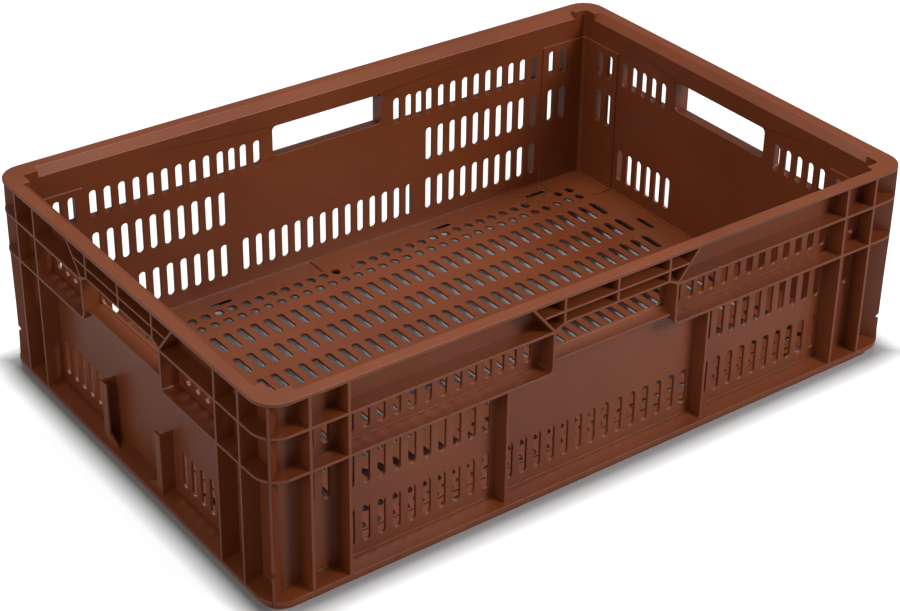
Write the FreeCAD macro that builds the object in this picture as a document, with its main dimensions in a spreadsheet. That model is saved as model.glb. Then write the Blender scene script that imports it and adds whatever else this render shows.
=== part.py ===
import FreeCAD, Part
import os
import Sketcher

# Stacking crate, 600 x 400 mm, moulded in one piece: thin perforated walls and floor,
# stiffened outside by a rim, two level ribs, a base flange and uprights, with a
# hand hold under the rim of every side.
# The frame: X along the long side, Y along the short side, Z up, origin at the
# middle of the footprint on the ground.

# Driving dimensions, in millimetres.
SIZES = {
    # outer block
    "length": 600.0,
    "width": 400.0,
    "height": 175.0,
    "corner_radius": 20.0,
    # foot ring that stands on the rim of the crate below
    "foot_height": 7.6,
    "foot_inset": 5.5,
    "foot_thickness": 3.0,
    "foot_corner_radius": 16.0,
    # walls and floor
    "wall_inset": 14.5,
    "wall_thickness": 2.5,
    "wall_corner_radius": 5.5,
    "inner_corner_radius": 3.0,
    "floor_thickness": 2.4,
    # rim with its lead-in slope
    "rim_thickness": 3.0,
    "rim_flat": 10.0,
    "lead_in_drop": 6.3,
    "lead_in_end": 30.0,
    # level ribs
    "rib_thickness": 2.4,
    "upper_rib_top": 148.3,
    "lower_rib_top": 113.4,
    "flange_thickness": 3.6,
    "flange_rise": 2.2,
    # uprights, measured in from the outer ends of each side
    "upright_thickness": 2.6,
    "outer_upright_inset": 35.0,
    "inner_upright_inset": 66.0,
    "panel_upright_place": 96.0,
    "recess": 3.4,
    # notch near the foot of each corner upright
    "notch_bottom": 31.0,
    "notch_rise": 5.0,
    "notch_depth": 3.0,
    # thicker panels inside the corners
    "corner_panel_top": 148.6,
    "corner_panel_step": 1.4,
    # hand hold
    "hold_half_width": 57.2,
    "hold_wall_thickness": 2.4,
    "hold_bend_radius": 6.0,
    "window_half_width": 55.8,
    "window_corner_radius": 4.0,
    "sill_lip_top": 121.0,
    "sill_inner_top": 123.3,
    "sill_thickness": 2.4,
    "grip_bar": 2.0,
    "grip_brace": 2.7,
    "grip_upright": 2.4,
    "grip_upright_place": 49.4,
    "grip_top_half_width": 76.7,
    "grip_middle_top": 162.7,
    "grip_bottom_top": 153.3,
    # slots in the walls
    "slot_width": 6.6,
    "slot_pitch": 13.1,
    "close_pitch": 11.1,
    "slot_margin": 9.3,
    "corner_slot_margin": 10.3,
    "upper_slot_low": 118.9,
    "upper_slot_high": 143.0,
    "middle_slot_low": 72.0,
    "middle_slot_high": 104.2,
    "lower_slot_low": 22.2,
    "lower_slot_high": 53.6,
    # openings in the floor
    "floor_slot_width": 6.0,
    "floor_slot_length": 25.0,
    "floor_row_pitch": 37.0,
    "floor_hole_width": 7.0,
    "floor_hole_length": 9.5,
    "floor_hole_row": 139.2,
    "floor_hole_pitch": 15.1,
    "floor_margin": 34.0,
    "hole_dimple": 0.8,
    # shallow strips sunk in the floor along the walls, with a gap in the middle of each wall
    "strip_depth": 1.3,
    "strip_width": 22.0,
    "strip_gap": 22.0,
    # short vents in the strips, along the walls
    "vent_length": 22.0,
    "vent_width": 4.5,
    "vent_offset": 15.0,
    "left_vent": -122.0,
    "right_vent": 109.0,
    "end_vent": 219.0,
    "side_vent": 67.0,
    # card holder on one short side
    "card_half_width": 44.5,
    "card_web": 2.2,
    "card_lip": 8.0,
    "card_lip_thickness": 2.0,
    "card_top": 64.5,
    "card_toe": 11.0,
    "card_toe_height": 9.0,
    "card_toe_fall": 6.0,
}

WALL_SLOTS = 10
CLOSE_SLOTS = 2
PANEL_SLOTS = 14
SHORT_UPPER_SLOTS = 5
SHORT_LOWER_SLOTS = 6
FLOOR_SLOT_ROWS = 7
CLOSED_COLUMNS = (0, 16, 17)        # columns whose outermost floor hole is only a dimple

PAST = 1.0          # how far a cutter runs past the face it opens

doc = FreeCAD.newDocument("crate")
sheet = doc.addObject("Spreadsheet::Sheet", "Sheet")


def fill_sheet():
    """one row for each driving dimension: its name, its value and its alias"""
    for row, (name, value) in enumerate(SIZES.items(), start=1):
        sheet.set(f"A{row}", name)
        sheet.set(f"B{row}", str(value))
        sheet.setAlias(f"B{row}", name)
    doc.recompute()


def bound(text):
    """an expression in which every driving dimension is read from the sheet"""
    for name in sorted(SIZES, key=len, reverse=True):
        text = text.replace(name, f"<{list(SIZES).index(name)}>")
    for index, name in enumerate(SIZES):
        text = text.replace(f"<{index}>", f"Sheet.{name}")
    return text


def value(text):
    """the present value of such an expression"""
    found = sheet.evalExpression(bound(text))
    return float(getattr(found, "Value", found))


def bind(thing, **properties):
    for name, text in properties.items():
        thing.setExpression(name, bound(text))


def place(thing, x="0", y="0", z="0"):
    for axis, text in zip("xyz", (x, y, z)):
        thing.setExpression(f".Placement.Base.{axis}", bound(text))


def block(name, x, y, z):
    """a box between two places on each axis, each pair given as expressions"""
    box = doc.addObject("Part::Box", name)
    bind(box, Length=f"({x[1]}) - ({x[0]})", Width=f"({y[1]}) - ({y[0]})", Height=f"({z[1]}) - ({z[0]})")
    place(box, x[0], y[0], z[0])
    return box


def rounded_outline(name, half_length, half_width, radius, z="0"):
    """a sketch of a rectangle with round corners about the origin"""
    sketch = doc.addObject("Sketcher::SketchObject", name)
    a, b, r = value(half_length), value(half_width), value(radius)
    corners = [(a, b), (-a, b), (-a, -b), (a, -b)]
    centres = [(a - r, b - r), (r - a, b - r), (r - a, r - b), (a - r, r - b)]
    quarter = 1.5707963267948966
    for index, (x, y) in enumerate(centres):
        circle = Part.Circle(FreeCAD.Vector(x, y, 0), FreeCAD.Vector(0, 0, 1), r)
        sketch.addGeometry(Part.ArcOfCircle(circle, index * quarter, (index + 1) * quarter))
    for index in range(4):
        start = sketch.Geometry[index].EndPoint
        end = sketch.Geometry[(index + 1) % 4].StartPoint
        sketch.addGeometry(Part.LineSegment(start, end))
    for index in range(4):
        sketch.addConstraint(Sketcher.Constraint("Tangent", index, 2, 4 + index, 1))
        sketch.addConstraint(Sketcher.Constraint("Tangent", 4 + index, 2, (index + 1) % 4, 1))
    for index in (1, 2, 3):
        sketch.addConstraint(Sketcher.Constraint("Equal", 0, index))
    sketch.addConstraint(Sketcher.Constraint("Horizontal", 4))
    sketch.addConstraint(Sketcher.Constraint("Vertical", 5))
    sizes = [
        ("right", Sketcher.Constraint("DistanceX", -1, 1, 7, 2, a), half_length),
        ("top", Sketcher.Constraint("DistanceY", -1, 1, 4, 1, b), half_width),
        ("left", Sketcher.Constraint("DistanceX", 5, 1, -1, 1, a), half_length),
        ("bottom", Sketcher.Constraint("DistanceY", 6, 1, -1, 1, b), half_width),
        ("radius", Sketcher.Constraint("Radius", 0, r), radius),
    ]
    for label, constraint, text in sizes:
        index = sketch.addConstraint(constraint)
        sketch.renameConstraint(index, label)
        sketch.setExpression(f"Constraints.{label}", bound(text))
    place(sketch, z=z)
    return sketch


def polygon_outline(name, corners):
    """a sketch with straight sides; every corner is a pair of expressions"""
    sketch = doc.addObject("Sketcher::SketchObject", name)
    points = [FreeCAD.Vector(value(x), value(y), 0) for x, y in corners]
    count = len(points)
    for index in range(count):
        sketch.addGeometry(Part.LineSegment(points[index], points[(index + 1) % count]))
    for index in range(count):
        sketch.addConstraint(Sketcher.Constraint("Coincident", index, 2, (index + 1) % count, 1))
    for index, (x, y) in enumerate(corners):
        for axis, text, size in (("X", x, points[index].x), ("Y", y, points[index].y)):
            made = sketch.addConstraint(Sketcher.Constraint("Distance" + axis, -1, 1, index, 1, size))
            label = f"corner{index}{axis}"
            sketch.renameConstraint(made, label)
            sketch.setExpression(f"Constraints.{label}", bound(text))
    return sketch


def extrude(name, sketch, direction, amount):
    solid = doc.addObject("Part::Extrusion", name)
    solid.Base = sketch
    solid.DirMode = "Custom"
    solid.Dir = FreeCAD.Vector(*direction)
    solid.Solid = True
    bind(solid, LengthFwd=amount)
    return solid


def plate(name, half_length, half_width, radius, low, high):
    """a level plate with round corners"""
    sketch = rounded_outline(name + "_outline", half_length, half_width, radius, low)
    return extrude(name, sketch, (0, 0, 1), f"({high}) - ({low})")


def facing_front(name, corners, near, far):
    """a prism whose corners are X and Z, between two places on Y"""
    sketch = polygon_outline(name + "_outline", corners)
    sketch.Placement = FreeCAD.Placement(FreeCAD.Vector(), FreeCAD.Rotation(FreeCAD.Vector(1, 0, 0), 90))
    place(sketch, y=near)
    return extrude(name, sketch, (0, 1, 0), f"({far}) - ({near})")


def facing_side(name, corners, near, far):
    """a prism whose corners are Y and Z, between two places on X"""
    sketch = polygon_outline(name + "_outline", corners)
    turn = FreeCAD.Rotation(FreeCAD.Vector(1, 1, 1), 120)
    sketch.Placement = FreeCAD.Placement(FreeCAD.Vector(), turn)
    place(sketch, x=near)
    return extrude(name, sketch, (1, 0, 0), f"({far}) - ({near})")


def fuse(name, shapes):
    union = doc.addObject("Part::MultiFuse", name)
    union.Shapes = shapes
    union.Refine = True
    return union


def cut(name, base, tool):
    result = doc.addObject("Part::Cut", name)
    result.Base = base
    result.Tool = tool
    result.Refine = True
    return result


# Places that several features share, as expressions of the driving dimensions.
HALF_LENGTH = "length / 2"
HALF_WIDTH = "width / 2"
WALL_X = "(length / 2 - wall_inset)"
WALL_Y = "(width / 2 - wall_inset)"
INNER_X = "(length / 2 - wall_inset - wall_thickness)"
INNER_Y = "(width / 2 - wall_inset - wall_thickness)"
FLOOR_TOP = "(foot_height + floor_thickness)"
RIM_BOTTOM = "(height - rim_thickness)"
FLANGE_TOP = "(foot_height + flange_thickness)"
GRIP_OPENING_TOP = "(grip_bottom_top - grip_bar)"


def level_ring(name, low, high):
    """a plate to the outer face all round; the inside of the crate is cut out later"""
    return plate(name, HALF_LENGTH, HALF_WIDTH, "corner_radius", low, high)


def base_flange():
    """the base flange, whose top slopes up to the wall"""
    edge = level_ring("flange_edge", "foot_height", FLANGE_TOP)
    low = rounded_outline("slope_low", HALF_LENGTH, HALF_WIDTH, "corner_radius", FLANGE_TOP)
    high = rounded_outline("slope_high", WALL_X, WALL_Y, "wall_corner_radius",
                           f"{FLANGE_TOP} + flange_rise")
    slope = doc.addObject("Part::Loft", "flange_slope")
    slope.Sections = [low, high]
    slope.Solid = True
    slope.Ruled = True
    return [edge, slope]


def foot_ring():
    """the ring under the base flange"""
    outside = plate("foot_outside", f"{HALF_LENGTH} - foot_inset", f"{HALF_WIDTH} - foot_inset",
                    "foot_corner_radius", "0", "foot_height + floor_thickness / 2")
    inside = plate("foot_inside", f"{HALF_LENGTH} - foot_inset - foot_thickness",
                   f"{HALF_WIDTH} - foot_inset - foot_thickness",
                   "foot_corner_radius - foot_thickness", f"-{PAST}", "foot_height")
    return cut("foot", outside, inside)


def rim_haunch():
    """the slope under the rim, which keeps the wall its thickness behind the lead-in"""
    steepness = "(lead_in_drop / (wall_inset + wall_thickness - rim_flat))"
    lower_edge = (f"(height - (wall_inset - rim_flat) * {steepness}"
                  f" - wall_thickness * sqrt(1 + {steepness} * {steepness}))")
    reach = f"(({RIM_BOTTOM} - {lower_edge}) / {steepness})"
    along = "(length / 2 - lead_in_end + wall_thickness)"
    across = "(width / 2 - lead_in_end + wall_thickness)"
    long_sides = facing_side("haunch_long", [
        (f"-{WALL_Y}", lower_edge), (WALL_Y, lower_edge),
        (f"{WALL_Y} + {reach}", RIM_BOTTOM), (f"-{WALL_Y} - {reach}", RIM_BOTTOM)],
        f"-{along}", along)
    short_sides = facing_front("haunch_short", [
        (f"-{WALL_X}", lower_edge), (WALL_X, lower_edge),
        (f"{WALL_X} + {reach}", RIM_BOTTOM), (f"-{WALL_X} - {reach}", RIM_BOTTOM)],
        f"-{across}", across)
    return [long_sides, short_sides]


def uprights():
    """the uprights near the ends of each side, each one box right across the crate"""
    made = []
    half = "upright_thickness / 2"
    heights = ("foot_height", "height - rim_thickness / 2")
    for label, inset in (("outer", "outer_upright_inset"), ("inner", "inner_upright_inset")):
        for side, sign in (("right", "1"), ("left", "-1")):
            x = f"{sign} * (length / 2 - {inset})"
            made.append(block(f"{label}_upright_{side}", (f"{x} - {half}", f"{x} + {half}"),
                              (f"-{HALF_WIDTH}", HALF_WIDTH), heights))
            y = f"{sign} * (width / 2 - {inset})"
            made.append(block(f"{label}_cross_{side}", (f"-{HALF_LENGTH}", HALF_LENGTH),
                              (f"{y} - {half}", f"{y} + {half}"), heights))
    for side, sign in (("right", "1"), ("left", "-1")):
        x = f"{sign} * panel_upright_place"
        made.append(block(f"panel_upright_{side}", (f"{x} - {half}", f"{x} + {half}"),
                          (f"-{HALF_WIDTH} + recess", f"{HALF_WIDTH} - recess"),
                          ("foot_height", "lower_rib_top - rib_thickness / 2")))
    return made


def corner_uprights():
    """one upright on the diagonal of each corner, with a notch near its foot"""
    made = []
    reach = "(sqrt(2) * wall_inset - (sqrt(2) - 1) * corner_radius)"
    for index, (sx, sy) in enumerate(((1, 1), (-1, 1), (-1, -1), (1, -1))):
        sketch = polygon_outline(f"corner_upright_{index}_outline", [
            ("-wall_corner_radius", "foot_height"), (reach, "foot_height"), (reach, "notch_bottom"),
            (f"{reach} - notch_depth", "notch_bottom"), (reach, "notch_bottom + notch_rise"),
            (reach, RIM_BOTTOM), ("-wall_corner_radius", RIM_BOTTOM)])
        heading = 45 + 90 * index
        turn = FreeCAD.Rotation(FreeCAD.Vector(0, 0, 1), heading)
        turn = turn.multiply(FreeCAD.Rotation(FreeCAD.Vector(1, 0, 0), 90))
        sketch.Placement = FreeCAD.Placement(FreeCAD.Vector(), turn)
        place(sketch, f"{sx} * {WALL_X}", f"{sy} * {WALL_Y}")
        upright = doc.addObject("Part::Extrusion", f"corner_upright_{index}")
        upright.Base = sketch
        upright.DirMode = "Normal"
        upright.Solid = True
        upright.Symmetric = True
        bind(upright, LengthFwd="upright_thickness")
        made.append(upright)
    return made


def hold_clearance(name):
    """what is taken out of the two level ribs where the hand goes in"""
    deep = (f"-{PAST}", "wall_inset")
    reach = "(hold_half_width + hold_bend_radius)"
    below = block(name + "_below", (f"-{reach}", reach), deep,
                  (f"lower_rib_top - rib_thickness - {PAST}", "lower_rib_top"))
    above = block(name + "_above", ("-hold_half_width", "hold_half_width"), deep,
                  ("lower_rib_top", "upper_rib_top"))
    return fuse(name, [below, above])


def hold_bend(name, sign):
    """the round corner between an end wall of the hand hold and the lower rib"""
    made = []
    lower_outer_quarter = FreeCAD.Rotation(FreeCAD.Vector(0, 0, 1), 90 if sign > 0 else 0)
    turn = FreeCAD.Rotation(FreeCAD.Vector(1, 0, 0), -90).multiply(lower_outer_quarter)
    for label, radius in (("outer", "hold_bend_radius"), ("inner", "hold_bend_radius - rib_thickness")):
        round_part = doc.addObject("Part::Cylinder", f"{name}_{label}")
        bind(round_part, Radius=radius, Height="wall_inset + wall_thickness / 2")
        round_part.Angle = 90
        round_part.Placement = FreeCAD.Placement(FreeCAD.Vector(), turn)
        place(round_part, f"{sign} * (hold_half_width + hold_bend_radius)", "0",
              "lower_rib_top - rib_thickness + hold_bend_radius")
        made.append(round_part)
    return cut(name, *made)


def hand_hold(name):
    """one hand hold, seen from outside: X along the side, Y inwards from the outer face"""
    deep = ("0", "wall_inset + wall_thickness / 2")
    parts = []
    lean = "(grip_top_half_width - hold_half_width) / (height - rim_thickness - upper_rib_top)"
    for side, sign in (("right", 1), ("left", -1)):
        end = f"{sign} * hold_half_width"
        outer_end = f"{sign} * (hold_half_width + hold_wall_thickness)"
        xs = (end, outer_end) if sign > 0 else (outer_end, end)
        parts.append(block(f"{name}_end_{side}", xs, deep,
                           ("lower_rib_top - rib_thickness + hold_bend_radius", "upper_rib_top")))
        parts.append(hold_bend(f"{name}_bend_{side}", sign))
        parts.append(facing_front(f"{name}_brace_{side}", [
            (end, "upper_rib_top - rib_thickness"),
            (f"{sign} * (hold_half_width + grip_brace)", "upper_rib_top - rib_thickness"),
            (f"{sign} * (hold_half_width + grip_brace)", "upper_rib_top"),
            (f"{sign} * (grip_top_half_width + grip_brace)", RIM_BOTTOM),
            (f"{sign} * grip_top_half_width", RIM_BOTTOM),
            (end, "upper_rib_top")], *deep))
        parts.append(facing_front(f"{name}_knee_{side}", [
            (f"{sign} * grip_upright_place", "grip_bottom_top"),
            (f"{sign} * grip_upright_place", GRIP_OPENING_TOP),
            (end, "upper_rib_top - rib_thickness / 2"),
            (f"{end} + {sign} * grip_bar", "upper_rib_top + grip_bar / 2")], *deep))
        parts.append(block(f"{name}_grip_{side}", (f"{sign} * grip_upright_place - grip_upright / 2",
                                                   f"{sign} * grip_upright_place + grip_upright / 2"),
                           deep, (GRIP_OPENING_TOP, RIM_BOTTOM)))
    parts.append(block(f"{name}_grip_middle", ("-grip_upright / 2", "grip_upright / 2"), deep,
                       (GRIP_OPENING_TOP, RIM_BOTTOM)))
    level = f"(hold_half_width + {lean} * (grip_middle_top - grip_bar - upper_rib_top) + grip_bar / 2)"
    parts.append(block(f"{name}_grip_level", (f"-{level}", level), deep,
                       ("grip_middle_top - grip_bar", "grip_middle_top")))
    parts.append(block(f"{name}_grip_bottom", ("-grip_upright_place", "grip_upright_place"), deep,
                       (GRIP_OPENING_TOP, "grip_bottom_top")))
    parts.append(facing_side(f"{name}_sill", [
        ("recess", "sill_lip_top - sill_thickness"), ("recess", "sill_lip_top"),
        ("wall_inset + wall_thickness", "sill_inner_top"),
        ("wall_inset + wall_thickness", "sill_lip_top - sill_thickness")],
        "-hold_half_width - hold_wall_thickness / 2", "hold_half_width + hold_wall_thickness / 2"))
    return fuse(name, parts)


def hold_window(name):
    """the opening through the wall behind the grip"""
    half_height = f"({GRIP_OPENING_TOP} - sill_inner_top) / 2"
    sketch = rounded_outline(name + "_outline", "window_half_width", half_height, "window_corner_radius")
    sketch.Placement = FreeCAD.Placement(FreeCAD.Vector(), FreeCAD.Rotation(FreeCAD.Vector(1, 0, 0), 90))
    place(sketch, y="wall_inset", z=f"({GRIP_OPENING_TOP} + sill_inner_top) / 2")
    return extrude(name, sketch, (0, 1, 0), f"wall_thickness + {PAST}")


SIDES = (
    ("front", 0, "0", f"-{HALF_WIDTH}"),
    ("right", 90, HALF_LENGTH, "0"),
    ("back", 180, "0", HALF_WIDTH),
    ("left", 270, f"-{HALF_LENGTH}", "0"),
)


def on_every_side(make, label):
    """the same feature on all four sides, turned to face outwards"""
    made = []
    for side, heading, x, y in SIDES:
        thing = make(f"{label}_{side}")
        holder = doc.addObject("Part::Compound", f"{label}_{side}_placed")
        holder.Links = [thing]
        turn = FreeCAD.Rotation(FreeCAD.Vector(0, 0, 1), heading)
        holder.Placement = FreeCAD.Placement(FreeCAD.Vector(), turn)
        place(holder, x, y)
        made.append(holder)
    return made


def card_holder():
    """two upright lips on the left short side that hold a card, each with a toe to stand it on"""
    made = []
    face = f"-{HALF_LENGTH} + recess"
    for side, sign in (("back", 1), ("front", -1)):
        web = (f"{sign} * card_half_width", f"{sign} * (card_half_width - card_web)")
        web = web if sign < 0 else web[::-1]
        made.append(block(f"card_web_{side}", (face, f"-{WALL_X} + wall_thickness / 2"), web,
                          ("foot_height", "card_top")))
        inner = f"{sign} * (card_half_width - card_lip)"
        toe = f"{sign} * (card_half_width - card_lip - card_toe)"
        toe_top = f"({FLANGE_TOP} + card_toe_height)"
        lip = facing_side(f"card_lip_{side}", [
            (f"{sign} * card_half_width", "foot_height"), (f"{sign} * card_half_width", "card_top"),
            (inner, "card_top"), (inner, toe_top), (toe, f"{toe_top} - card_toe_fall"),
            (toe, "foot_height")], face, f"{face} + card_lip_thickness")
        made.append(lip)
    return made


def cavity():
    """the room inside: full size above the corner panels, stepped in at the corners below them"""
    heights = (FLOOR_TOP, f"corner_panel_top + {PAST}")
    upper = plate("cavity_upper", INNER_X, INNER_Y, "inner_corner_radius",
                  "corner_panel_top", f"height + {PAST}")
    lower = plate("cavity_corners", f"{INNER_X} - corner_panel_step", f"{INNER_Y} - corner_panel_step",
                  "inner_corner_radius", *heights)
    along = "(length / 2 - inner_upright_inset)"
    across = "(width / 2 - inner_upright_inset)"
    long_part = block("cavity_long", (f"-{along}", along), (f"-{INNER_Y}", INNER_Y), heights)
    short_part = block("cavity_short", (f"-{INNER_X}", INNER_X), (f"-{across}", across), heights)
    return fuse("cavity", [upper, lower, long_part, short_part])


def lead_in():
    """the slopes inside the rim that guide the next crate in"""
    low = "height - lead_in_drop"
    flat_x = "(length / 2 - rim_flat)"
    flat_y = "(width / 2 - rim_flat)"
    grow = f"{PAST} * (wall_inset + wall_thickness - rim_flat) / lead_in_drop"
    high = f"height + {PAST}"
    across = [(f"-{INNER_Y}", low), (INNER_Y, low),
              (f"{flat_y} + {grow}", high), (f"-{flat_y} - {grow}", high)]
    long_sides = facing_side("lead_in_long", across,
                             "-length / 2 + lead_in_end", "length / 2 - lead_in_end")
    along = [(f"-{INNER_X}", low), (INNER_X, low),
             (f"{flat_x} + {grow}", high), (f"-{flat_x} - {grow}", high)]
    short_sides = facing_front("lead_in_short", along,
                               "-width / 2 + lead_in_end", "width / 2 - lead_in_end")
    return [long_sides, short_sides]


def span(sign, near, far):
    """both ends of a stretch on the plus or the minus side of the middle, the lower one first"""
    return (near, far) if sign > 0 else (f"-({far})", f"-({near})")


def floor_strips():
    """shallow strips sunk in the floor, two along each wall, as far out as the corner panels stand in"""
    depths = (f"{FLOOR_TOP} - strip_depth", f"{FLOOR_TOP} + strip_depth")
    strips = []
    for side, sign in (("plus", 1), ("minus", -1)):
        by_long_wall = span(sign, f"{INNER_Y} - strip_width", f"{INNER_Y} - corner_panel_step")
        by_short_wall = span(sign, f"{INNER_X} - strip_width", f"{INNER_X} - corner_panel_step")
        for half, direction in (("plus", 1), ("minus", -1)):
            along = span(direction, "strip_gap", "length / 2 - inner_upright_inset")
            across = span(direction, "strip_gap", "width / 2 - inner_upright_inset")
            strips.append(block(f"long_strip_{side}_{half}", along, by_long_wall, depths))
            strips.append(block(f"short_strip_{side}_{half}", by_short_wall, across, depths))
    return fuse("strips", strips)


# The openings: round-ended slots, each with a cutter that passes through one wall or the floor.


def slot_profile(width, low, high):
    """the closed wire of an upright round-ended slot in the XZ plane, about x = 0"""
    radius = width / 2
    v = FreeCAD.Vector
    left_low, left_high = v(-radius, 0, low + radius), v(-radius, 0, high - radius)
    right_high, right_low = v(radius, 0, high - radius), v(radius, 0, low + radius)
    return Part.Wire([
        Part.LineSegment(left_low, left_high).toShape(),
        Part.Arc(left_high, v(0, 0, high), right_high).toShape(),
        Part.LineSegment(right_high, right_low).toShape(),
        Part.Arc(right_low, v(0, 0, low), left_low).toShape()])


def slot_cutter(width, low, high, depth):
    """a slot cutter along Y, centred on the origin"""
    face = Part.Face(slot_profile(width, low, high))
    face.translate(FreeCAD.Vector(0, -depth / 2, 0))
    return face.extrude(FreeCAD.Vector(0, depth, 0))


def columns_from(outermost, count, pitch):
    return [outermost - pitch * index for index in range(count)]


def mirrored(places):
    return [sign * place_ for place_ in places for sign in (1, -1)]


def wall_slot_places(half_side, count):
    """slot places in a row that ends beside the inner upright"""
    outermost = half_side - value("inner_upright_inset") - value("slot_margin")
    return columns_from(outermost, count, value("slot_pitch"))


def corner_slot_places(half_side):
    first = half_side - value("inner_upright_inset") + value("corner_slot_margin")
    return [first, first + value("slot_pitch")]


def wall_cutters(rows, half_span, heading):
    """cutters for both walls of a pair, from rows of places with their lower and upper ends"""
    outside = half_span - value("wall_inset")
    depth = value("wall_thickness + corner_panel_step") + 2 * PAST
    middle = outside + PAST - depth / 2
    cutters = []
    for places, (low, high) in rows:
        pattern = slot_cutter(value("slot_width"), low, high, depth)
        for side in (1, -1):
            cutters += [pattern.translated(FreeCAD.Vector(x, side * middle, 0)) for x in places]
    return [cutter.rotated(FreeCAD.Vector(), FreeCAD.Vector(0, 0, 1), heading) for cutter in cutters]


def slot_heights(row):
    return value(f"{row}_slot_low"), value(f"{row}_slot_high")


def long_wall_cutters():
    half, pitch, close_pitch = value("length / 2"), value("slot_pitch"), value("close_pitch")
    row = wall_slot_places(half, WALL_SLOTS)
    close = [row[-1] - close_pitch * (index + 1) for index in range(CLOSE_SLOTS)]
    upper = row + close + [close[-1] - pitch]
    corners = corner_slot_places(half)
    panel = [pitch * (index + 0.5) for index in range(PANEL_SLOTS // 2)]
    rows = [
        (mirrored(upper + corners), slot_heights("upper")),
        (mirrored(row + corners), slot_heights("middle")),
        (mirrored(row + panel), slot_heights("lower")),
    ]
    return wall_cutters(rows, value("width / 2"), 0)


def short_wall_cutters():
    half = value("width / 2")
    corners = corner_slot_places(half)
    rows = [
        (mirrored(wall_slot_places(half, SHORT_UPPER_SLOTS) + corners), slot_heights("upper")),
        (mirrored(corners), slot_heights("middle")),
        (mirrored(wall_slot_places(half, SHORT_LOWER_SLOTS)), slot_heights("lower")),
    ]
    return wall_cutters(rows, value("length / 2"), 90)


def floor_cutter(width, length, bottom, top):
    """a slot cutter that stands upright through the floor, its length along Y"""
    pattern = slot_cutter(width, -length / 2, length / 2, top - bottom)
    pattern.rotate(FreeCAD.Vector(), FreeCAD.Vector(1, 0, 0), 90)
    pattern.translate(FreeCAD.Vector(0, 0, (top + bottom) / 2))
    return pattern


def floor_rows(through, dimple):
    """rows of slots across the floor, and two rows of short holes by each long wall"""
    pitch = value("slot_pitch")
    columns = int(value(f"{INNER_X} - floor_margin") / pitch)
    indices = range(-columns, columns + 1)
    slot = floor_cutter(value("floor_slot_width"), value("floor_slot_length"), *through)
    hole_size = value("floor_hole_width"), value("floor_hole_length")
    hole, closed_hole = floor_cutter(*hole_size, *through), floor_cutter(*hole_size, *dimple)
    cutters = []
    side_rows = FLOOR_SLOT_ROWS // 2
    for row in range(-side_rows, side_rows + 1):
        y = row * value("floor_row_pitch")
        cutters += [slot.translated(FreeCAD.Vector(pitch * index, y, 0)) for index in indices]
    for sign in (1, -1):
        inner_row = sign * value("floor_hole_row")
        outer_row = sign * value("floor_hole_row + floor_hole_pitch")
        for index in indices:
            outer = closed_hole if index in CLOSED_COLUMNS else hole
            cutters.append(hole.translated(FreeCAD.Vector(pitch * index, inner_row, 0)))
            cutters.append(outer.translated(FreeCAD.Vector(pitch * index, outer_row, 0)))
    return cutters


def vent_cutters(through):
    """short vents in the floor strips, each along its wall"""
    across = floor_cutter(value("vent_width"), value("vent_length"), *through)
    along = across.rotated(FreeCAD.Vector(), FreeCAD.Vector(0, 0, 1), 90)
    x, y = value(f"{INNER_X} - vent_offset"), value(f"{INNER_Y} - vent_offset")
    cutters = []
    for sign in (1, -1):
        for name in ("left_vent", "right_vent", "end_vent"):
            cutters.append(along.translated(FreeCAD.Vector(value(name), sign * y, 0)))
        for place_ in mirrored([value("side_vent")]):
            cutters.append(across.translated(FreeCAD.Vector(sign * x, place_, 0)))
    return cutters


def floor_cutters():
    bottom, top = value("foot_height") - PAST, value(FLOOR_TOP) + PAST
    dimple_bottom = value(f"{FLOOR_TOP} - hole_dimple")
    return floor_rows((bottom, top), (dimple_bottom, top)) + vent_cutters((bottom, top))


def openings():
    """every slot and hole as one set of cutters"""
    cutters = doc.addObject("Part::Feature", "openings")
    cutters.Shape = Part.Compound(long_wall_cutters() + short_wall_cutters() + floor_cutters())
    return cutters


def make_crate():
    block_walls = plate("walls", WALL_X, WALL_Y, "wall_corner_radius", "foot_height", "height")
    rings = [
        level_ring("rim", RIM_BOTTOM, "height"),
        level_ring("upper_rib", "upper_rib_top - rib_thickness", "upper_rib_top"),
        level_ring("lower_rib", "lower_rib_top - rib_thickness", "lower_rib_top"),
    ]
    outside = fuse("outside", [block_walls] + rings)
    cleared = cut("cleared", outside, fuse("clearances", on_every_side(hold_clearance, "clearance")))
    body = [cleared] + base_flange() + [foot_ring()] + rim_haunch() + uprights() + corner_uprights()
    solid = fuse("solid", body + on_every_side(hand_hold, "hold") + card_holder())
    room = fuse("room", [cavity()] + lead_in() + on_every_side(hold_window, "window") + [floor_strips()])
    hollow = cut("hollow", solid, room)
    crate = cut("crate", hollow, openings())
    crate.Label = "crate"
    return crate


def check(node):
    """stop if any object failed or the finished node is not one valid solid"""
    for thing in doc.Objects:
        if {"Invalid", "Error"} & set(thing.State):
            raise RuntimeError(f"{thing.Name} failed: {thing.State}")
        shape = getattr(thing, "Shape", None)
        if shape is not None and shape.isNull():
            raise RuntimeError(f"{thing.Name} is empty")
    if not node.Shape.isValid() or len(node.Shape.Solids) != 1:
        raise RuntimeError(f"{node.Label} has {len(node.Shape.Solids)} solids")


fill_sheet()
crate = make_crate()
doc.recompute()
check(crate)
os.makedirs("parts", exist_ok=True)
crate.Shape.exportStep(f"parts/{crate.Label}.step")
box = crate.Shape.BoundBox
print(f"{crate.Label}: {box.XLength:.1f} x {box.YLength:.1f} x {box.ZLength:.1f} mm,"
      f" volume {crate.Shape.Volume / 1000:.1f} cm3")
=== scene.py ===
import math

import bmesh
import bpy
from mathutils import Matrix, Vector


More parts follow.
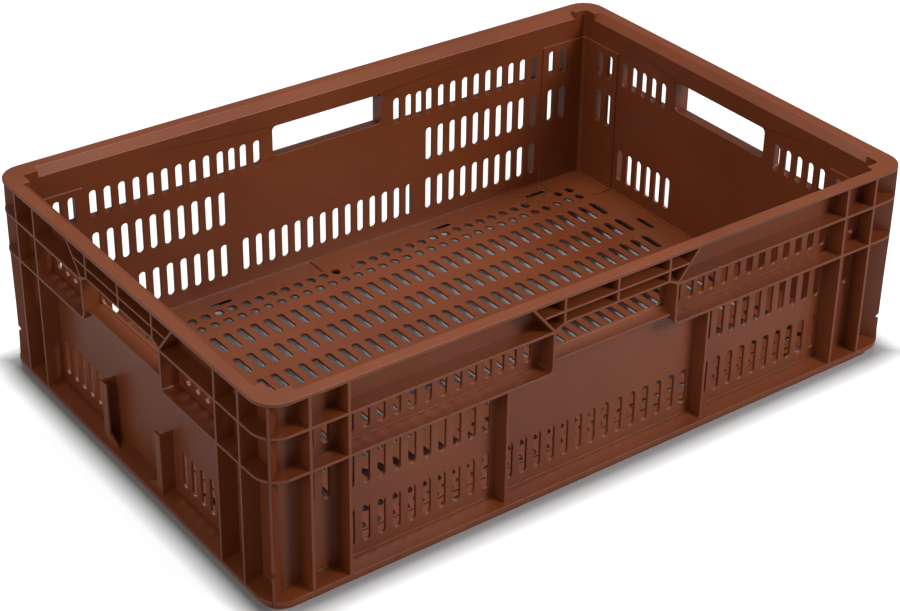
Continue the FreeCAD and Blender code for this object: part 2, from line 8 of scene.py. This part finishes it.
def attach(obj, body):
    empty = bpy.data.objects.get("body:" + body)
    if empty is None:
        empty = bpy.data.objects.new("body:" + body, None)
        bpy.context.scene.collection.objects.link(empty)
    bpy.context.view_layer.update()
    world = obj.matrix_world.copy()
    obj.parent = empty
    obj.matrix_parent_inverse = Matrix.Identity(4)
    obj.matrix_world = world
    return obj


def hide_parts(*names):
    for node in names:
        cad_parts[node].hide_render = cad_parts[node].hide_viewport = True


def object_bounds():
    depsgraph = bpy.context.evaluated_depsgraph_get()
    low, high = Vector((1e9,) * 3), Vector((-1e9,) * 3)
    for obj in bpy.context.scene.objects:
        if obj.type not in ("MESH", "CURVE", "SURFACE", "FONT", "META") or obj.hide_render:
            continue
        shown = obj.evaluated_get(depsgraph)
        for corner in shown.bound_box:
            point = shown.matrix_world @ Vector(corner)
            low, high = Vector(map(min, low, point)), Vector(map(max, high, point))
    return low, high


# A brown moulded stacking crate on a pale studio floor. Metres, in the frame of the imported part:
# X along the long side, Y along the short side, Z up, origin on the ground under the middle.

# Camera, solved from the photograph: where it stands, how it is turned, and its lens.
CAMERA_PLACE = Vector((-0.8711, -1.1659, 0.9447))
CAMERA_HEADING = math.radians(36.617)      # clockwise from +Y, seen from above
CAMERA_PITCH = math.radians(29.154)        # below the horizon
CAMERA_ROLL = math.radians(0.885)
CAMERA_FOCAL_PIXELS = 2093.6
PHOTO_WIDTH, PHOTO_HEIGHT = 900, 611
CAMERA_CENTRE_ABOVE_MIDDLE = 90.5          # pixels from the lens centre down to the picture's middle
SENSOR_WIDTH = 36.0

# How sharp the moulding is.
EDGE_WIDTH = 0.00038                       # flat of the bevel along every edge and inner corner
EDGE_ANGLE = math.radians(32)              # corners sharper than this are bevelled
ARC_STEP = (math.radians(5), math.radians(12))     # turn between two facets of a slot's round end
ARC_FACETS = 21                            # facets of a round end as packed
ARC_KEEP = 3                               # one facet is kept for each so many
FLAT_TURN = math.radians(30)               # faces that turn less than this are shaded as one surface
SAME_PLANE = math.radians(1)               # faces that turn less than this lie in one plane
WELD_DISTANCE = 1e-6
SHORTEST_EDGE = 1e-7

# Plastic.
BROWN = (0.172, 0.0385, 0.0095, 1.0)
BROWN_LIGHT = (0.190, 0.0445, 0.0115, 1.0)
BROWN_DARK = (0.152, 0.0325, 0.0078, 1.0)
PLASTIC_IOR = 1.5
GLOSS = (0.30, 0.44)                       # roughness of the shiniest and the dullest patches
FLOW_SCALE, PATCH_SCALE = 9.0, 26.0        # noise scales of the flow marks and the gloss patches
GRAIN_SCALE, WAVE_SCALE = 1400.0, 38.0     # noise scales of the mould grain and the slow waves
GRAIN_HEIGHT, WAVE_HEIGHT = 0.00015, 0.0008
GRAIN_STRENGTH, WAVE_STRENGTH = 0.12, 0.10

# Studio floor: grey, and seen as white all round except in the crate's own shadow under it.
FLOOR_HALF = 6.0
FLOOR_COLOUR = (0.42, 0.42, 0.42, 1.0)
FLOOR_ROUGHNESS = 0.7
GLOW_FADE = 0.02                           # how far past the footprint the floor is back to white
FLOOR_GLOW = 0.75                          # what the camera sees on top of the light that falls there

# Studio lights: name, place, size of the panel, power. All point at the middle of the crate.
WHITE = (1.0, 1.0, 1.0, 1.0)
LIGHT_TARGET = Vector((0, 0, 0.1))
LIGHTS = [
    ("overhead", (0.1, 0.3, 2.0), (1.1, 0.9), 30),
    ("right_front", (1.2, -1.9, 1.5), (0.9, 0.9), 44),
    ("left", (-2.2, -0.7, 1.2), (1.1, 0.9), 16),
]
ROOM_LIGHT = 0.2                           # light from all round
ROOM_SEEN = 1.0                            # the same surroundings as the camera sees them


def set_node(node, **inputs):
    for name, value in inputs.items():
        node.inputs[name.replace("_", " ")].default_value = value
    return node


def make_camera():
    data = bpy.data.cameras.new("camera")
    data.sensor_width = SENSOR_WIDTH
    data.lens = CAMERA_FOCAL_PIXELS * SENSOR_WIDTH / PHOTO_WIDTH
    data.shift_y = -CAMERA_CENTRE_ABOVE_MIDDLE / PHOTO_WIDTH
    camera = bpy.data.objects.new("camera", data)
    turn = Matrix.Rotation(-CAMERA_HEADING, 4, "Z")
    turn = turn @ Matrix.Rotation(math.pi / 2 - CAMERA_PITCH, 4, "X")
    turn = turn @ Matrix.Rotation(CAMERA_ROLL, 4, "Z")
    camera.matrix_world = Matrix.Translation(CAMERA_PLACE) @ turn
    bpy.context.scene.collection.objects.link(camera)
    bpy.context.scene.camera = camera


def area_light(name, place, size, power):
    data = bpy.data.lights.new(name, "AREA")
    data.shape = "RECTANGLE"
    data.size, data.size_y = size
    data.energy = power
    light = bpy.data.objects.new(name, data)
    turn = (LIGHT_TARGET - Vector(place)).to_track_quat("-Z", "Y")
    light.matrix_world = Matrix.Translation(place) @ turn.to_matrix().to_4x4()
    bpy.context.scene.collection.objects.link(light)


def make_lights():
    for name, place, size, power in LIGHTS:
        area_light(name, place, size, power)
    world = bpy.data.worlds.new("studio")
    world.use_nodes = True
    nodes, links = world.node_tree.nodes, world.node_tree.links
    background = nodes["Background"]
    set_node(background, Color=WHITE, Strength=ROOM_LIGHT)
    seen = nodes.new("ShaderNodeBackground")
    set_node(seen, Color=WHITE, Strength=ROOM_SEEN)
    path = nodes.new("ShaderNodeLightPath")
    mix = nodes.new("ShaderNodeMixShader")
    links.new(path.outputs["Is Camera Ray"], mix.inputs["Fac"])
    links.new(background.outputs["Background"], mix.inputs[1])
    links.new(seen.outputs["Background"], mix.inputs[2])
    links.new(mix.outputs["Shader"], nodes["World Output"].inputs["Surface"])
    bpy.context.scene.world = world


def math_node(nodes, links, operation, first, second):
    node = nodes.new("ShaderNodeMath")
    node.operation = operation
    for socket, source in zip(node.inputs, (first, second)):
        if isinstance(source, (int, float)):
            socket.default_value = source
        else:
            links.new(source, socket)
    return node.outputs["Value"]


def floor_material(footprint):
    """matt grey floor that glows up to white for the camera, except in the crate's footprint"""
    material = bpy.data.materials.new("studio_floor")
    material.use_nodes = True
    nodes, links = material.node_tree.nodes, material.node_tree.links
    shader = nodes["Principled BSDF"]
    set_node(shader, Base_Color=FLOOR_COLOUR, Roughness=FLOOR_ROUGHNESS)
    place = nodes.new("ShaderNodeTexCoord")
    axes = nodes.new("ShaderNodeSeparateXYZ")
    links.new(place.outputs["Object"], axes.inputs["Vector"])
    past = []
    for axis, half in zip(("X", "Y"), footprint):
        size = math_node(nodes, links, "ABSOLUTE", axes.outputs[axis], 0.0)
        past.append(math_node(nodes, links, "SUBTRACT", size, half))
    furthest = math_node(nodes, links, "MAXIMUM", past[0], past[1])
    fade = set_node(nodes.new("ShaderNodeMapRange"), From_Min=0.0, From_Max=GLOW_FADE)
    links.new(furthest, fade.inputs["Value"])
    path = nodes.new("ShaderNodeLightPath")
    seen = math_node(nodes, links, "MULTIPLY", fade.outputs["Result"], path.outputs["Is Camera Ray"])
    glow = set_node(nodes.new("ShaderNodeEmission"), Color=WHITE)
    links.new(math_node(nodes, links, "MULTIPLY", seen, FLOOR_GLOW), glow.inputs["Strength"])
    add = nodes.new("ShaderNodeAddShader")
    links.new(shader.outputs["BSDF"], add.inputs[0])
    links.new(glow.outputs["Emission"], add.inputs[1])
    links.new(add.outputs["Shader"], nodes["Material Output"].inputs["Surface"])
    return material


def make_floor(footprint):
    """the studio floor, with the half length and half width of what stands on its middle"""
    half = FLOOR_HALF
    corners = [(-half, -half, 0), (half, -half, 0), (half, half, 0), (-half, half, 0)]
    mesh = bpy.data.meshes.new("floor")
    mesh.from_pydata(corners, [], [(0, 1, 2, 3)])
    floor = bpy.data.objects.new("floor", mesh)
    mesh.materials.append(floor_material(footprint))
    bpy.context.scene.collection.objects.link(floor)


def moulded_plastic():
    """brown plastic with a fine mould grain, faint flow marks and slightly uneven gloss"""
    material = bpy.data.materials.new("moulded_brown_plastic")
    material.use_nodes = True
    nodes, links = material.node_tree.nodes, material.node_tree.links
    shader = nodes["Principled BSDF"]
    set_node(shader, IOR=PLASTIC_IOR)
    place = nodes.new("ShaderNodeTexCoord")

    flow = set_node(nodes.new("ShaderNodeTexNoise"), Scale=FLOW_SCALE, Detail=4.0, Roughness=0.55)
    links.new(place.outputs["Object"], flow.inputs["Vector"])
    tint = nodes.new("ShaderNodeValToRGB")
    tint.color_ramp.elements[0].position = 0.3
    tint.color_ramp.elements[0].color = BROWN_DARK
    tint.color_ramp.elements[1].position = 0.7
    tint.color_ramp.elements[1].color = BROWN_LIGHT
    middle = tint.color_ramp.elements.new(0.5)
    middle.color = BROWN
    links.new(flow.outputs["Fac"], tint.inputs["Fac"])
    links.new(tint.outputs["Color"], shader.inputs["Base Color"])

    patches = set_node(nodes.new("ShaderNodeTexNoise"), Scale=PATCH_SCALE, Detail=3.0, Roughness=0.6)
    links.new(place.outputs["Object"], patches.inputs["Vector"])
    gloss = set_node(nodes.new("ShaderNodeMapRange"), To_Min=GLOSS[0], To_Max=GLOSS[1])
    links.new(patches.outputs["Fac"], gloss.inputs["Value"])
    links.new(gloss.outputs["Result"], shader.inputs["Roughness"])

    grain = set_node(nodes.new("ShaderNodeTexNoise"), Scale=GRAIN_SCALE, Detail=2.0, Roughness=0.5)
    links.new(place.outputs["Object"], grain.inputs["Vector"])
    waves = set_node(nodes.new("ShaderNodeTexNoise"), Scale=WAVE_SCALE, Detail=1.0)
    links.new(place.outputs["Object"], waves.inputs["Vector"])
    fine = set_node(nodes.new("ShaderNodeBump"), Strength=GRAIN_STRENGTH, Distance=GRAIN_HEIGHT)
    coarse = set_node(nodes.new("ShaderNodeBump"), Strength=WAVE_STRENGTH, Distance=WAVE_HEIGHT)
    links.new(grain.outputs["Fac"], fine.inputs["Height"])
    links.new(waves.outputs["Fac"], coarse.inputs["Height"])
    links.new(fine.outputs["Normal"], coarse.inputs["Normal"])
    links.new(coarse.outputs["Normal"], shader.inputs["Normal"])
    return material


def round_end_chains(bm):
    """the facet edges of every round slot end, each as one ordered chain"""
    low, high = ARC_STEP
    soft = {edge for edge in bm.edges if edge.is_manifold and low < edge.calc_face_angle(0) < high}

    def beside(edge):
        found = []
        for face in edge.link_faces:
            for other in face.edges:
                if other in soft and other is not edge:
                    found.append(other)
                elif other is not edge and other.calc_face_angle(math.pi) < SAME_PLANE:
                    found += [far for next_face in other.link_faces if next_face is not face
                              for far in next_face.edges if far in soft and far is not edge]
        return found

    chains, seen = [], set()
    for edge in bm.edges:
        if edge not in soft or edge in seen:
            continue
        chain = [edge]
        seen.add(edge)
        for at_end in (True, False):
            current = edge
            while True:
                following = [other for other in beside(current) if other not in seen]
                if not following:
                    break
                current = following[0]
                seen.add(current)
                chain.insert(len(chain) if at_end else 0, current)
        chains.append(chain)
    return chains


def thin_out_round_ends(bm):
    """keep every third facet of the slots' round ends, so that their bevels stay light"""
    merged = {}
    for chain in round_end_chains(bm):
        if len(chain) != ARC_FACETS - 1:
            continue
        for place, edge in enumerate(chain, start=1):
            if place % ARC_KEEP == 0:
                continue
            kept = min(max(ARC_KEEP * round(place / ARC_KEEP), ARC_KEEP), ARC_FACETS - ARC_KEEP)
            kept_verts = chain[kept - 1].verts
            for vert in edge.verts:
                merged[vert] = min(kept_verts, key=lambda other: (other.co - vert.co).length)
    bmesh.ops.weld_verts(bm, targetmap=merged)
    bmesh.ops.dissolve_degenerate(bm, dist=SHORTEST_EDGE, edges=bm.edges)


def corner_normals(bm, rounded):
    """one normal for each face corner: flat faces stay flat, and the rounded edges turn between them"""
    limit = math.cos(FLAT_TURN)

    def flats_at(vert):
        return [face for face in vert.link_faces if face not in rounded]

    def joined(face, vert):
        """the normal of the smooth surface that a flat face belongs to at this corner"""
        total = Vector()
        for other in flats_at(vert):
            if other.normal.dot(face.normal) > limit:
                total += other.normal * other.calc_area()
        return total.normalized() if total.length > 0 else face.normal

    normals = []
    for face in bm.faces:
        for loop in face.loops:
            vert = loop.vert
            if face not in rounded:
                normals.append(joined(face, vert))
                continue
            flats = flats_at(vert)
            if flats:
                nearest = max(flats, key=lambda other: other.normal.dot(face.normal))
                normals.append(joined(nearest, vert))
            else:
                normals.append(vert.normal.copy())
    return normals


def make_crate(node):
    """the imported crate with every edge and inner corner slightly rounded, as a mould leaves them"""
    bm = bmesh.new()
    bm.from_mesh(node.data)
    bmesh.ops.remove_doubles(bm, verts=bm.verts, dist=WELD_DISTANCE)
    thin_out_round_ends(bm)
    sharp = [edge for edge in bm.edges if edge.is_manifold and edge.calc_face_angle(0) > EDGE_ANGLE]
    bevelled = bmesh.ops.bevel(bm, geom=sharp, offset=EDGE_WIDTH, offset_type="OFFSET", segments=1,
                               profile=0.5, affect="EDGES", clamp_overlap=False, material=-1,
                               loop_slide=True, miter_outer="SHARP")
    rounded = set(bevelled["faces"])
    bm.normal_update()
    normals = corner_normals(bm, rounded)
    mesh = bpy.data.meshes.new("crate_moulding")
    bm.to_mesh(mesh)
    bm.free()
    mesh.shade_smooth()
    mesh.normals_split_custom_set(normals)
    mesh.materials.append(moulded_plastic())
    crate = bpy.data.objects.new("crate_moulding", mesh)
    bpy.context.scene.collection.objects.link(crate)
    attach(crate, "root")
    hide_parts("crate")


def plain(box):
    return [list(corner) for corner in box]


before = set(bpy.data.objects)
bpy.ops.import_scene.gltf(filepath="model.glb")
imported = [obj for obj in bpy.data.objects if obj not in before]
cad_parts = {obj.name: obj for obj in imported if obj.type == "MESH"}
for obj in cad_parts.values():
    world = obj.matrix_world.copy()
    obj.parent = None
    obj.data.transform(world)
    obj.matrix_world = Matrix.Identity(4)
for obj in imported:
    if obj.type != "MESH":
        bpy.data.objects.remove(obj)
cad_box = plain(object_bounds())
bpy.context.scene.view_settings.view_transform = "Standard"
make_camera()
make_lights()
make_floor(cad_box[1][:2])
make_crate(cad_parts["crate"])
